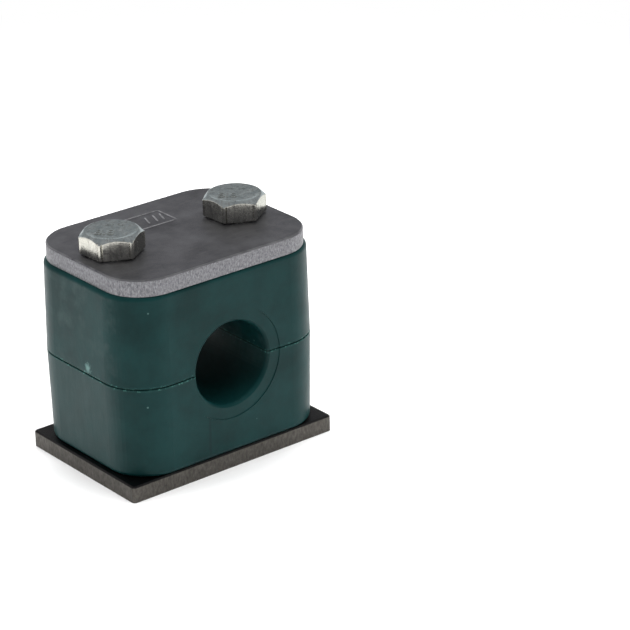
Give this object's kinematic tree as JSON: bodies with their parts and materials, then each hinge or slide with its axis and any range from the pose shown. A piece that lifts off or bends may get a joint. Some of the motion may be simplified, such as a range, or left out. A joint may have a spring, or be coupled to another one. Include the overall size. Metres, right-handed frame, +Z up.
{
  "type": "hydraulic tube clamp",
  "caption": "Tube clamp of two green plastic halves held between a weld plate and a cover plate by hexagon bolts, with a round bore for the tube.",
  "frame": {"origin": "bottom centre of the weld plate", "axes": "+X along the line of the two bolts, +Y along the tube, +Z up, away from the surface the plate is welded to"},
  "size_m": [0.043, 0.0308, 0.043],
  "materials": {
    "weld_plate_steel": "satin",
    "green_polypropylene": "matte",
    "zinc_plated_steel": "satin",
    "bolt_steel": "satin"
  },
  "bodies": {
    "base": {"weld_plate": "weld_plate_steel", "lower_half": "green_polypropylene"},
    "top": {"upper_half": "green_polypropylene", "cover_plate": "zinc_plated_steel"},
    "left_bolt": {"left_bolt": "bolt_steel"},
    "right_bolt": {"right_bolt": "bolt_steel"}
  },
  "joints": [
    {"name": "top_lift", "type": "slide", "parent": "base", "child": "top", "axis": [0, 0, 1], "range_m": [0, 0.025]},
    {"name": "left_bolt_turn", "type": "hinge", "parent": "top", "child": "left_bolt", "pos_m": [-0.013, 0, 0.039], "axis": [0, 0, 1], "range_deg": [0, 9000.1]},
    {"name": "right_bolt_turn", "type": "hinge", "parent": "top", "child": "right_bolt", "pos_m": [0.013, 0, 0.039], "axis": [0, 0, 1], "range_deg": [0, 9000.1]}
  ],
  "couplings": [
    {"joint": "left_bolt_turn", "follows": "top_lift", "rad_per_m": 6283.2},
    {"joint": "right_bolt_turn", "follows": "top_lift", "rad_per_m": 6283.2}
  ]
}
